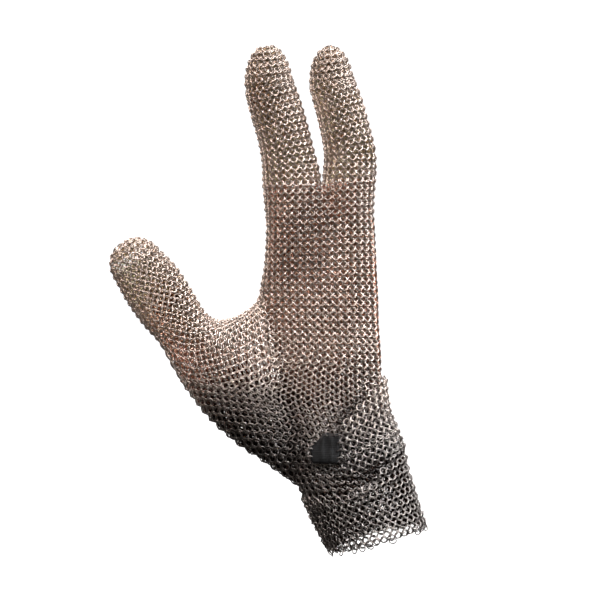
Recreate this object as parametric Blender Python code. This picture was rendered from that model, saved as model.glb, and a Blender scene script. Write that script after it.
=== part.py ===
# Three-finger chainmail glove: hollow mesh shells that keep the worn form, a wrist band, a closure flap
# and a plain closure tab.  Tables are in millimetres; objects are built in metres, +Z towards the fingers,
# -Y the palm side, origin at the centre of the wrist opening.
import math
import bmesh
import bpy
import numpy as np

MM = 0.001

# ---------------------------------------------------------------- driving dimensions
MESH_WALL = 1.7            # thickness of one layer of ring mesh
BAND_WALL = 2.6            # thickness of the doubled wrist band
CLEARANCE = 0.35           # gap kept between neighbouring pieces
FINGER_SEGMENTS = 24       # facets round a finger tube
PALM_SEGMENTS = 34         # facets along the open palm section
BAND_SEGMENTS = 32         # facets round the wrist band
DOME_STEPS = 5             # facet rows over a finger tip
SPAN_STEPS = 2             # facet rows between two stations
INDEX_TIP_HEIGHT = 19.4    # height of the index finger dome above its last station
MIDDLE_TIP_HEIGHT = 19.0   # height of the middle finger dome above its last station
THUMB_TIP_HEIGHT = 12.4    # height of the thumb dome beyond its last station
HEM_ANGLE = 38.0           # half angle left open at the ulnar side of the palm section, degrees
PALM_SQUARENESS = 2.5      # superellipse exponent of the palm section
TAB_WIDTH = 13.0
TAB_HEIGHT = 12.5
TAB_THICKNESS = 1.5
TAB_CORNER_CUT = 4.5       # slanted upper corner of the tab
TAB_CENTRE_X = -24.2
TAB_CENTRE_Z = 40.8
TAB_BACK_Y = -17.2         # rear face of the tab at its middle, just clear of the palm mesh
TAB_SLOPE = -0.21          # the tab lies back towards the thumb side, as the palm mesh does
SEAM_TOP = (-53.4, 112.2)      # seam plane of the gusset, end at the thumb web
SEAM_BOTTOM = (-36.8, 21.6)    # seam plane of the gusset, end at the wrist

# ---------------------------------------------------------------- station tables
# Finger tubes: centre x, centre z, half width, half depth, centre y
FINGER_COLUMNS = ("x", "z", "half_width", "half_depth", "y")
INDEX_STATIONS = (
    (-39.0, 150.9, 13.3, 12.4, 0.5),
    (-39.5, 163.0, 13.6, 12.2, 0.5),
    (-40.9, 174.0, 12.8, 11.8, 0.2),
    (-43.4, 185.0, 12.5, 11.4, -0.3),
    (-46.9, 197.0, 12.4, 10.9, -1.2),
    (-49.7, 206.0, 11.7, 10.4, -2.2),
)
MIDDLE_STATIONS = (
    (-12.9, 150.9, 12.1, 12.0, 0.5),
    (-12.5, 163.0, 12.5, 12.0, 0.5),
    (-12.3, 174.0, 12.4, 11.6, 0.2),
    (-14.4, 185.0, 11.8, 11.2, -0.4),
    (-17.5, 197.0, 11.5, 10.7, -1.4),
    (-20.8, 206.0, 11.0, 10.2, -2.6),
)
# Sections between two outline points: upper x, upper z, lower x, lower z, half depth, centre y, squareness
SECTION_COLUMNS = ("upper_x", "upper_z", "lower_x", "lower_z", "half_depth", "y", "squareness")
THUMB_STATIONS = (
    (-72.8, 98.8, -94.5, 76.4, 14.0, -1.6, 2.2),
    (-77.7, 101.2, -100.0, 87.0, 12.6, -1.8, 2.1),
    (-84.2, 112.0, -108.2, 96.3, 12.0, -2.2, 2.0),
    (-91.4, 123.3, -115.2, 106.4, 11.6, -3.0, 2.0),
    (-99.6, 131.7, -120.7, 116.7, 10.6, -4.0, 2.0),
)
GUSSET_STATIONS = (
    (-53.7, 111.8, -37.2, 21.9, 14.0, 0.0, 2.5),
    (-54.9, 109.0, -50.1, 31.3, 15.6, -1.2, 2.5),
    (-57.0, 105.8, -63.9, 40.5, 16.4, -1.8, 2.4),
    (-60.7, 103.0, -75.9, 51.1, 16.4, -2.0, 2.4),
    (-66.2, 99.9, -86.0, 63.5, 15.6, -1.9, 2.3),
    (-72.2, 98.5, -94.1, 75.8, 14.2, -1.6, 2.2),
)
# Palm section: radial x, radial z, ulnar x, ulnar z, half depth, centre y, squareness
PALM_STATIONS = (
    (-52.0, 150.4, 2.6, 150.4, 12.8, 0.5, 2.7),
    (-51.6, 138.0, 2.2, 138.0, 13.2, 0.4, 2.6),
    (-52.2, 124.2, 3.0, 124.2, 13.4, 0.2, 2.6),
    (-55.4, 111.3, 4.0, 112.0, 13.6, 0.0, 2.6),
    (-60.5, 95.0, 4.6, 98.4, 14.0, -0.2, 2.6),
    (-61.0, 76.0, 5.0, 84.0, 14.4, -0.4, 2.6),
    (-57.0, 57.0, 3.4, 69.0, 15.2, -0.4, 2.5),
    (-48.6, 39.0, 5.2, 57.0, 16.4, 0.0, 2.4),
    (-38.6, 25.0, 8.4, 48.6, 17.2, 0.2, 2.3),
    (-34.6, 17.6, 11.2, 42.4, 17.4, 0.2, 2.2),
)
BAND_STATIONS = (
    (-34.4, 15.8, 12.2, 41.0, 18.0, 0.2, 2.1),
    (-31.6, 9.6, 14.9, 29.4, 17.8, 0.2, 2.1),
    (-28.3, 2.6, 18.4, 18.0, 17.6, 0.1, 2.1),
    (-25.3, -3.0, 20.8, 10.0, 17.5, 0.0, 2.1),
    (-22.9, -6.8, 22.4, 5.6, 17.5, 0.0, 2.1),
)
# Closure flap: outer sheet over the palm section: station on the palm run (0 to 1), front angle, back angle
FLAP_COLUMNS = ("palm_run", "front_angle", "back_angle")
FLAP_STATIONS = (
    (0.670, -56.0, 60.0),
    (0.735, -78.0, 64.0),
    (0.810, -84.0, 68.0),
    (0.890, -89.0, 70.0),
    (0.960, -84.0, 70.0),
)


def clear_scene():
    for item in list(bpy.data.objects):
        bpy.data.objects.remove(item, do_unlink=True)


def material(name, colour, metallic, roughness):
    mat = bpy.data.materials.new(name)
    mat.use_nodes = True
    shader = mat.node_tree.nodes["Principled BSDF"]
    shader.inputs["Base Color"].default_value = (*colour, 1.0)
    shader.inputs["Metallic"].default_value = metallic
    shader.inputs["Roughness"].default_value = roughness
    mat.diffuse_color = (*colour, 1.0)
    return mat


def add_object(name, vertices, faces, mat, smooth=True):
    mesh = bpy.data.meshes.new(name)
    mesh.from_pydata([tuple(np.asarray(v, dtype=float) * MM) for v in vertices], [], faces)
    shaped = bmesh.new()
    shaped.from_mesh(mesh)
    bmesh.ops.recalc_face_normals(shaped, faces=shaped.faces)
    shaped.to_mesh(mesh)
    shaped.free()
    mesh.update()
    mesh.polygons.foreach_set("use_smooth", [smooth] * len(mesh.polygons))
    mesh.materials.append(mat)
    obj = bpy.data.objects.new(name, mesh)
    bpy.context.collection.objects.link(obj)
    return obj


def spline(rows, position):
    """Catmull-Rom value of a table at a fractional row."""
    rows = np.asarray(rows, dtype=float)
    last = len(rows) - 1
    position = min(max(position, 0.0), float(last))
    i = min(int(position), last - 1)
    t = position - i
    p1 = rows[i]
    p2 = rows[i + 1]
    p0 = rows[i - 1] if i > 0 else 2.0 * p1 - p2
    p3 = rows[i + 2] if i + 2 <= last else 2.0 * p2 - p1
    a = -0.5 * p0 + 1.5 * p1 - 1.5 * p2 + 0.5 * p3
    b = p0 - 2.5 * p1 + 2.0 * p2 - 0.5 * p3
    c = -0.5 * p0 + 0.5 * p2
    return ((a * t + b) * t + c) * t + p1


def rounded(angle, squareness):
    """Unit superellipse point at an angle in degrees."""
    ca = math.cos(math.radians(angle))
    sa = math.sin(math.radians(angle))
    power = 2.0 / squareness
    x = math.copysign(abs(ca) ** power, ca)
    y = math.copysign(abs(sa) ** power, sa)
    return x, y


def section_point(row, angle, inset):
    """Point of a section between two outline points; angle 0 is the second point, 90 is the back."""
    ax, az, bx, bz, depth, mid, squareness = row
    width = math.hypot(bx - ax, bz - az) * 0.5
    ux = (bx - ax) * 0.5 / width
    uz = (bz - az) * 0.5 / width
    c, s = rounded(angle, squareness)
    along = c * (width - inset)
    return (
        (ax + bx) * 0.5 + ux * along,
        mid + s * (depth - inset),
        (az + bz) * 0.5 + uz * along,
    )


def ring_of(row, segments, inset):
    return [section_point(row, 360.0 * k / segments, inset) for k in range(segments)]


def bridge(faces, first, second, count, flip):
    for k in range(count):
        n = (k + 1) % count
        quad = (first + k, first + n, second + n, second + k)
        faces.append(tuple(reversed(quad)) if flip else quad)


def cup(name, outer_rings, outer_pole, inner_rings, inner_pole, mat):
    """Closed shell with one open end: rings run from the open end to the tip."""
    count = len(outer_rings[0])
    vertices = []
    faces = []
    starts = []
    for rings in (outer_rings, inner_rings):
        run = []
        for ring in rings:
            run.append(len(vertices))
            vertices.extend(ring)
        starts.append(run)
    for which, run in enumerate(starts):
        for lower, upper in zip(run[:-1], run[1:]):
            bridge(faces, lower, upper, count, which == 1)
    bridge(faces, starts[0][0], starts[1][0], count, True)
    poles = []
    for pole in (outer_pole, inner_pole):
        poles.append(len(vertices))
        vertices.append(pole)
    for which in (0, 1):
        top = starts[which][-1]
        for k in range(count):
            tri = (top + k, top + (k + 1) % count, poles[which])
            faces.append(tri if which == 0 else tuple(reversed(tri)))
    return add_object(name, vertices, faces, mat)


def tube(name, outer_rings, inner_rings, mat):
    """Closed shell with both ends open."""
    count = len(outer_rings[0])
    vertices = []
    faces = []
    starts = []
    for rings in (outer_rings, inner_rings):
        run = []
        for ring in rings:
            run.append(len(vertices))
            vertices.extend(ring)
        starts.append(run)
    for which, run in enumerate(starts):
        for lower, upper in zip(run[:-1], run[1:]):
            bridge(faces, lower, upper, count, which == 1)
    bridge(faces, starts[0][0], starts[1][0], count, True)
    bridge(faces, starts[0][-1], starts[1][-1], count, False)
    return add_object(name, vertices, faces, mat)


def sheet(name, outer_runs, inner_runs, mat):
    """Closed thin solid between an outer and an inner open surface."""
    count = len(outer_runs[0])
    vertices = []
    faces = []
    loops = []
    for outer, inner in zip(outer_runs, inner_runs):
        loops.append(len(vertices))
        vertices.extend(outer)
        vertices.extend(reversed(inner))
    total = 2 * count
    for lower, upper in zip(loops[:-1], loops[1:]):
        bridge(faces, lower, upper, total, False)
    for base, flip in ((loops[0], True), (loops[-1], False)):
        for k in range(count - 1):
            quad = (base + k, base + k + 1, base + total - 2 - k, base + total - 1 - k)
            faces.append(tuple(reversed(quad)) if flip else quad)
    return add_object(name, vertices, faces, mat)


def finger_rings(stations, tip_height, inset):
    """Rings of a finger tube from root to tip, and its pole."""
    last = len(stations) - 1
    rings = []
    steps = last * SPAN_STEPS
    for k in range(steps + 1):
        position = k / SPAN_STEPS
        x, z, width, depth, y = spline(stations, position)
        ahead = spline(stations, min(position + 0.3, last))
        behind = spline(stations, max(position - 0.3, 0.0))
        tx = ahead[0] - behind[0]
        tz = ahead[1] - behind[1]
        lean = min(1.0, position)
        length = math.hypot(tx * lean, tz)
        across = (tz / length, -tx * lean / length)
        rings.append(_finger_ring(x, y, z, across, width - inset, depth - inset))
    x, z, width, depth, y = stations[-1]
    ahead = spline(stations, last)
    behind = spline(stations, last - 0.3)
    tx = ahead[0] - behind[0]
    tz = ahead[1] - behind[1]
    length = math.hypot(tx, tz)
    tx /= length
    tz /= length
    height = tip_height - inset
    for k in range(1, DOME_STEPS):
        turn = math.radians(90.0 * k / DOME_STEPS)
        rise = math.sin(turn) * height
        shrink = math.cos(turn) ** 0.92
        rings.append(_finger_ring(x + tx * rise * 0.45, y - rise * 0.06, z + tz * rise, (tz, -tx),
                                  (width - inset) * shrink, (depth - inset) * shrink))
    pole = (x + tx * height * 0.45, y - height * 0.06, z + tz * height)
    return rings, pole


def _finger_ring(x, y, z, across, width, depth):
    ring = []
    for k in range(FINGER_SEGMENTS):
        turn = 2.0 * math.pi * k / FINGER_SEGMENTS
        along = math.cos(turn) * width
        ring.append((x + across[0] * along, y + math.sin(turn) * depth, z + across[1] * along))
    return ring


def build_finger(name, stations, tip_height, mat):
    outer, outer_pole = finger_rings(stations, tip_height, 0.0)
    inner, inner_pole = finger_rings(stations, tip_height, MESH_WALL)
    return cup(name, outer, outer_pole, inner, inner_pole, mat)


def section_rings(stations, segments, inset, steps):
    total = (len(stations) - 1) * steps
    return [ring_of(spline(stations, k / steps), segments, inset) for k in range(total + 1)]


def build_thumb(mat):
    rings = {}
    poles = {}
    for inset in (0.0, MESH_WALL):
        run = section_rings(THUMB_STATIONS, FINGER_SEGMENTS, inset, SPAN_STEPS)
        row = np.array(THUMB_STATIONS[-1], dtype=float)
        ux = row[0] - row[2]
        uz = row[1] - row[3]
        length = math.hypot(ux, uz)
        tx = -uz / length
        tz = ux / length
        height = THUMB_TIP_HEIGHT - inset
        for k in range(1, DOME_STEPS):
            turn = math.radians(90.0 * k / DOME_STEPS)
            rise = math.sin(turn) * height
            shrink = math.cos(turn) ** 0.92
            half = length * 0.5 - inset
            depth = row[4] - inset
            cx = (row[0] + row[2]) * 0.5 + tx * rise
            cz = (row[1] + row[3]) * 0.5 + tz * rise
            ring = []
            for s in range(FINGER_SEGMENTS):
                angle = 2.0 * math.pi * s / FINGER_SEGMENTS
                along = -math.cos(angle) * half * shrink
                ring.append((
                    cx + ux / length * along,
                    row[5] - rise * 0.05 + math.sin(angle) * depth * shrink,
                    cz + uz / length * along,
                ))
            run.append(ring)
        rings[inset] = run
        poles[inset] = ((row[0] + row[2]) * 0.5 + tx * height, row[5] - height * 0.05,
                        (row[1] + row[3]) * 0.5 + tz * height)
    return cup("thumb_stall", rings[0.0], poles[0.0], rings[MESH_WALL], poles[MESH_WALL], mat)


def build_gusset(mat):
    outer = section_rings(GUSSET_STATIONS, FINGER_SEGMENTS, 0.0, SPAN_STEPS)
    inner = section_rings(GUSSET_STATIONS, FINGER_SEGMENTS, MESH_WALL, SPAN_STEPS)
    return tube("thumb_gusset", outer, inner, mat)


def open_run(row, start, stop, count, inset):
    return [section_point(row, start + (stop - start) * k / (count - 1), inset) for k in range(count)]


def seam_cutter():
    """Wedge on the thumb side of the seam plane, taken away from the palm shell."""
    tx = SEAM_BOTTOM[0] - SEAM_TOP[0]
    tz = SEAM_BOTTOM[1] - SEAM_TOP[1]
    length = math.hypot(tx, tz)
    tx /= length
    tz /= length
    nx = tz
    nz = -tx
    shift = CLEARANCE * 0.5
    points = []
    for along, out in ((-70.0, 0.0), (length + 2.0, 0.0), (length + 2.0, 60.0), (-70.0, 60.0)):
        points.append((SEAM_TOP[0] + tx * along + nx * (out - shift),
                       SEAM_TOP[1] + tz * along + nz * (out - shift)))
    vertices = []
    for y in (-40.0, 40.0):
        vertices.extend((p[0], y, p[1]) for p in points)
    faces = [(3, 2, 1, 0), (4, 5, 6, 7), (0, 1, 5, 4), (1, 2, 6, 5), (2, 3, 7, 6), (3, 0, 4, 7)]
    mesh = bpy.data.meshes.new("seam_cutter")
    mesh.from_pydata([tuple(np.array(v) * MM) for v in vertices], [], faces)
    shaped = bmesh.new()
    shaped.from_mesh(mesh)
    bmesh.ops.recalc_face_normals(shaped, faces=shaped.faces)
    shaped.to_mesh(mesh)
    shaped.free()
    obj = bpy.data.objects.new("seam_cutter", mesh)
    bpy.context.collection.objects.link(obj)
    obj.hide_render = True
    obj.display_type = "WIRE"
    return obj


def build_palm(mat):
    steps = (len(PALM_STATIONS) - 1) * SPAN_STEPS
    outer = []
    inner = []
    for k in range(steps + 1):
        row = spline(PALM_STATIONS, k / SPAN_STEPS)
        outer.append(open_run(row, HEM_ANGLE, 360.0 - HEM_ANGLE, PALM_SEGMENTS, 0.0))
        inner.append(open_run(row, HEM_ANGLE, 360.0 - HEM_ANGLE, PALM_SEGMENTS, MESH_WALL))
    palm = sheet("palm_mesh", outer, inner, mat)
    cut = palm.modifiers.new("gusset_seam", "BOOLEAN")
    cut.operation = "DIFFERENCE"
    cut.solver = "EXACT"
    cut.object = seam_cutter()
    return palm


def build_band(mat):
    outer = section_rings(BAND_STATIONS, BAND_SEGMENTS, -(BAND_WALL - MESH_WALL), SPAN_STEPS)
    inner = section_rings(BAND_STATIONS, BAND_SEGMENTS, MESH_WALL, SPAN_STEPS)
    return tube("cuff_band", outer, inner, mat)


def build_flap(mat):
    last = len(PALM_STATIONS) - 1
    steps = (len(FLAP_STATIONS) - 1) * 2
    outer = []
    inner = []
    for k in range(steps + 1):
        run, front, back = spline(FLAP_STATIONS, k / 2)
        row = spline(PALM_STATIONS, run * last)
        lift = CLEARANCE + 0.15
        outer.append(open_run(row, front, back, 18, -(lift + MESH_WALL)))
        inner.append(open_run(row, front, back, 18, -lift))
    return sheet("closure_flap", outer, inner, mat)


def build_tab(mat):
    half_w = TAB_WIDTH * 0.5
    half_h = TAB_HEIGHT * 0.5
    outline = [
        (-half_w, -half_h),
        (half_w, -half_h),
        (half_w, half_h),
        (-half_w + TAB_CORNER_CUT, half_h),
        (-half_w, half_h - TAB_CORNER_CUT),
    ]
    vertices = []
    for lift in (0.0, TAB_THICKNESS):
        for x, z in outline:
            vertices.append((TAB_CENTRE_X + x, TAB_BACK_Y - lift + x * TAB_SLOPE, TAB_CENTRE_Z + z))
    n = len(outline)
    faces = [tuple(reversed(range(n))), tuple(range(n, 2 * n))]
    for k in range(n):
        faces.append((k, (k + 1) % n, n + (k + 1) % n, n + k))
    faces = [tuple(reversed(f)) for f in faces]
    return add_object("closure_tab", vertices, faces, mat, smooth=False)


clear_scene()
steel = material("steel_mesh", (0.62, 0.63, 0.65), 1.0, 0.35)
black = material("black_webbing", (0.02, 0.02, 0.022), 0.0, 0.6)
build_finger("index_stall", INDEX_STATIONS, INDEX_TIP_HEIGHT, steel)
build_finger("middle_stall", MIDDLE_STATIONS, MIDDLE_TIP_HEIGHT, steel)
build_thumb(steel)
build_gusset(steel)
build_palm(steel)
build_band(steel)
build_flap(steel)
build_tab(black)
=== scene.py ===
import math
from collections import namedtuple

import bmesh
import bpy
import numpy as np
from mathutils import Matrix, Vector


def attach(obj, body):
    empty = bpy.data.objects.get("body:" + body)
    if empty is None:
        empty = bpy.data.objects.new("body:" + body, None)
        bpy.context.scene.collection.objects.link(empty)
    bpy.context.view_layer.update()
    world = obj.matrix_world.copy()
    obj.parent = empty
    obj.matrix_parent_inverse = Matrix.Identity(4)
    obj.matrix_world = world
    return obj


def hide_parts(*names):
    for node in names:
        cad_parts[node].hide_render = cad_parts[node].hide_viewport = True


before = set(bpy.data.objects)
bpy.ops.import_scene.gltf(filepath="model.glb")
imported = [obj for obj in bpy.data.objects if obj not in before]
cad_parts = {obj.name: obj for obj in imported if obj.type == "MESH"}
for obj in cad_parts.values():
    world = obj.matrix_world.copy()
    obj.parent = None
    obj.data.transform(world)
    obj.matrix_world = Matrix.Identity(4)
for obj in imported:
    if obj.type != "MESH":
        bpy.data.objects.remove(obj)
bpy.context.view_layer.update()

# ---- ring mesh (millimetres and degrees)
MM = 0.001  # in metres
PITCH = 3.62  # distance between neighbours in a row
ROW_STEP = 1.74  # distance between a row and the next, which is offset by half a pitch
RING_RADIUS = 1.60  # to the middle of the wire
WIRE_RADIUS = 0.252
SINK = 0.95  # the mesh's middle lies this far under the outer form
LEAN = 23.0  # rows lean out of the surface by turns, up and down
LEAN_CLOSER = 14.0  # and more for each millimetre that they lie closer
YAW_WIRES = 2.1  # neighbours in a row pass each other by this many wire radii
FINE = (12, 4)  # sides round a ring and round its wire, on the palm side
PLAIN = (8, 3)  # on the back
FOLD_SIDES = (6, 3)  # in the inner layers and the lining
# how far single rings lie out of order: standard deviations at a jitter of 1
LEAN_STIR = 2.6
YAW_STIR = 2.2
SHIFT_STIR = 0.07
DEPTH_STIR = 0.06
EVEN = 0.3  # the usual jitter
# the back hangs closed and double: its rows and its rings lie closer by these shares
BACK_STEP = 0.625
BACK_PITCH = 0.72
BACK_LEAN = 20.0
BACK_WIRE = 0.30
BACK_FROM = 0.30  # it begins where the outward normal turns this far away from the palm
FOLD_DEPTH = 1.1  # and each further layer of it lies this much deeper
rng = np.random.default_rng(7)

# ---- camera, level and square to the palm
FIELD = 276.0  # width of the view at the glove
LENS = 85.0
SENSOR = 36.0
VIEW_X = -35.4
VIEW_Z = 107.6
CAMERA = np.array([VIEW_X, -FIELD * LENS / SENSOR, VIEW_Z])

RIGHT = (1.0, 0.0, 0.0)
UP = (0.0, 0.0, 1.0)


def row_normal(across, point, side=UP):
    """Normal, turned to one side, of the plane that holds a row's direction and the camera."""
    n = np.cross(across, point - CAMERA)
    n = n / np.linalg.norm(n)
    return -n if n @ np.asarray(side) < 0.0 else n


# ---- outer form, as in the solids
# fingers: x, z, half width, half depth, y of the middle
INDEX = (
    (-37.2, 126.0, 12.4, 11.4, 0.6),
    (-38.0, 140.0, 12.9, 12.2, 0.6),
    (-38.6, 150.9, 13.7, 12.4, 0.5),
    (-39.2, 163.0, 14.0, 12.2, 0.5),
    (-40.9, 174.0, 12.8, 11.8, 0.2),
    (-43.4, 185.0, 12.5, 11.4, -0.3),
    (-46.9, 197.0, 12.4, 10.9, -1.2),
    (-49.7, 206.0, 11.7, 10.4, -2.2),
)
MIDDLE = (
    (-13.6, 126.0, 12.0, 11.2, 0.6),
    (-13.3, 140.0, 12.1, 11.8, 0.6),
    (-13.3, 150.9, 12.5, 12.0, 0.5),
    (-12.8, 163.0, 12.8, 12.0, 0.5),
    (-12.3, 174.0, 12.4, 11.6, 0.2),
    (-14.4, 185.0, 11.8, 11.2, -0.4),
    (-17.5, 197.0, 11.5, 10.7, -1.4),
    (-20.8, 206.0, 11.0, 10.2, -2.6),
)
INDEX_TIP = 19.4  # rise of the round tips past the last row
MIDDLE_TIP = 19.0
THUMB_TIP = 12.4
# the rest: x and z of one side, x and z of the other, half depth, y of the middle, squareness
THUMB = (
    (-60.7, 103.0, -75.9, 51.1, 14.0, -2.0, 2.4),
    (-66.2, 99.9, -86.0, 63.5, 14.4, -1.9, 2.3),
    (-72.8, 98.8, -94.5, 76.4, 14.0, -1.6, 2.2),
    (-77.7, 101.2, -100.0, 87.0, 12.6, -1.8, 2.1),
    (-84.2, 112.0, -108.2, 96.3, 12.0, -2.2, 2.0),
    (-91.4, 123.3, -115.2, 106.4, 11.6, -3.0, 2.0),
    (-99.6, 131.7, -120.7, 116.7, 10.6, -4.0, 2.0),
)
GUSSET = (
    (-47.0, 114.0, -26.0, 18.0, 12.0, 0.0, 2.2),
    (-53.7, 111.8, -37.2, 21.9, 14.0, 0.0, 2.1),
    (-54.9, 109.0, -50.1, 31.3, 15.8, -1.2, 2.0),
    (-57.0, 105.8, -63.9, 40.5, 16.8, -1.8, 1.95),
    (-60.7, 103.0, -75.9, 51.1, 16.8, -2.0, 1.95),
    (-66.2, 99.9, -86.0, 63.5, 15.8, -1.9, 2.0),
    (-72.2, 98.5, -94.1, 75.8, 14.4, -1.6, 2.1),
)
PALM = (
    (-38.0, 163.5, -13.0, 163.5, 5.0, 0.5, 2.0),
    (-42.0, 157.0, -9.0, 157.0, 8.2, 0.5, 2.0),
    (-48.8, 150.5, -2.8, 150.5, 10.4, 0.5, 2.2),
    (-51.2, 144.0, -0.4, 144.0, 12.0, 0.5, 2.4),
    (-51.6, 137.0, 0.4, 137.0, 12.8, 0.4, 2.4),
    (-52.2, 124.2, 1.1, 124.2, 13.4, 0.2, 2.4),
    (-54.4, 111.3, 1.9, 112.0, 13.6, 0.0, 2.4),
    (-54.0, 95.0, 2.4, 98.4, 14.0, -0.2, 2.4),
    (-52.0, 76.0, 2.9, 84.0, 14.4, -0.4, 2.4),
    (-48.0, 57.0, 3.4, 69.0, 15.2, -0.4, 2.4),
    (-43.6, 37.0, 5.2, 57.0, 16.4, 0.0, 2.3),
    (-37.6, 24.0, 8.4, 48.6, 17.2, 0.2, 2.2),
    (-34.6, 16.6, 11.2, 41.4, 17.4, 0.2, 2.2),
    (-31.6, 9.6, 14.9, 29.4, 17.2, 0.2, 2.1),
    (-28.3, 2.6, 18.4, 18.0, 17.0, 0.1, 2.1),
    (-25.3, -3.0, 20.8, 10.0, 17.0, 0.0, 2.1),
    (-22.9, -6.8, 22.4, 5.6, 17.0, 0.0, 2.1),
    (-19.0, -15.0, 26.0, -1.0, 17.0, 0.0, 2.1),
)
BETWEEN_ROWS = 3  # sections made for each row of these tables
READ_STEP = 0.2  # outlines are measured at steps of this
FINGER_SIDES = 40
PALM_SIDES = 64
GUSSET_SIDES = 48


def spline(rows, position):
    """Values of a table at a position between its rows, on a smooth curve through them."""
    rows = np.asarray(rows, dtype=float)
    last = len(rows) - 1
    position = min(max(position, 0.0), float(last))
    i = min(int(position), last - 1)
    t = position - i
    p1 = rows[i]
    p2 = rows[i + 1]
    p0 = rows[i - 1] if i > 0 else 2.0 * p1 - p2
    p3 = rows[i + 2] if i + 2 <= last else 2.0 * p2 - p1
    a = -0.5 * p0 + 1.5 * p1 - 1.5 * p2 + 0.5 * p3
    b = p0 - 2.5 * p1 + 2.0 * p2 - 0.5 * p3
    c = -0.5 * p0 + 0.5 * p2
    return ((a * t + b) * t + c) * t + p1


def dense(rows, steps=12):
    """Positions at even steps through a table, and its values there."""
    last = len(rows) - 1
    fine = np.linspace(0.0, last, last * steps + 1)
    return fine, np.array([spline(rows, t) for t in fine])


def unit(v):
    v = np.asarray(v, dtype=float)
    return v / np.maximum(np.linalg.norm(v, axis=-1, keepdims=True), 1e-12)


def summed(steps):
    """Running sum, from nought."""
    return np.concatenate([[0.0], np.cumsum(steps)])


def arc_of(points):
    """Distance along a line of points up to each of them."""
    return summed(np.linalg.norm(np.diff(points, axis=0), axis=1))


def between(s, at, values):
    """Vectors at the distances s along a line that has values at the distances at."""
    return np.stack([np.interp(s, at, values[:, i]) for i in range(3)], axis=1)


def turns(count):
    return 2.0 * np.pi * np.arange(count) / count


def section(row, count):
    ax, az, bx, bz, depth, mid, squareness = row
    c = np.cos(turns(count))
    s = np.sin(turns(count))
    power = 2.0 / squareness
    c = np.sign(c) * np.abs(c) ** power
    s = np.sign(s) * np.abs(s) ** power
    x = (ax + bx) * 0.5 + (bx - ax) * 0.5 * c
    z = (az + bz) * 0.5 + (bz - az) * 0.5 * c
    return np.stack([x, mid + depth * s, z], axis=1)


def sections(rows, count):
    return [section(spline(rows, k / BETWEEN_ROWS), count) for k in range((len(rows) - 1) * BETWEEN_ROWS + 1)]


def tip_sections(x, z, width, depth, y, d, height, slide, dip, turn):
    """Sections of a round tip that goes on in the direction d from a finger's last station."""
    for k in range(1, 10):
        angle = math.radians(9.0 * k)
        rise = math.sin(angle) * height
        shrink = max(math.cos(angle), 0.02) ** 0.92
        along = np.cos(turn) * width * shrink
        yield np.stack([
            x + d[0] * rise * slide + d[1] * along,
            y - rise * dip + np.sin(turn) * depth * shrink,
            z + d[1] * rise - d[0] * along,
        ], axis=1)


def finger_sections(stations, tip, count):
    last = len(stations) - 1
    turn = turns(count)
    rings = []
    for k in range(last * BETWEEN_ROWS + 1):
        t = k / BETWEEN_ROWS
        x, z, width, depth, y = spline(stations, t)
        d = unit((spline(stations, min(t + 0.3, last)) - spline(stations, max(t - 0.3, 0.0)))[:2])
        along = np.cos(turn) * width
        rings.append(np.stack([x + d[1] * along, y + np.sin(turn) * depth, z - d[0] * along], axis=1))
    d = unit(np.array(stations[-1][:2]) - spline(stations, last - 0.3)[:2])
    return [*rings, *tip_sections(*stations[-1], d, tip, 0.45, 0.06, turn)]


def thumb_sections(count):
    ax, az, bx, bz, depth, y, _ = THUMB[-1]
    width = np.hypot(ax - bx, az - bz)
    d = np.array([bz - az, ax - bx]) / width
    return [*sections(THUMB, count), *tip_sections(
        (ax + bx) * 0.5, (az + bz) * 0.5, -width * 0.5, depth, y, d, THUMB_TIP, 1.0, 0.05, turns(count))]


def placed(name, data, mat=None):
    """Object of some data, in the scene."""
    if mat:
        data.materials.append(mat)
    obj = bpy.data.objects.new(name, data)
    bpy.context.collection.objects.link(obj)
    return obj


def vectors(items, name, kind=np.float64):
    flat = np.zeros(len(items) * 3, dtype=kind)
    items.foreach_get(name, flat)
    return flat.reshape(-1, 3)


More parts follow.
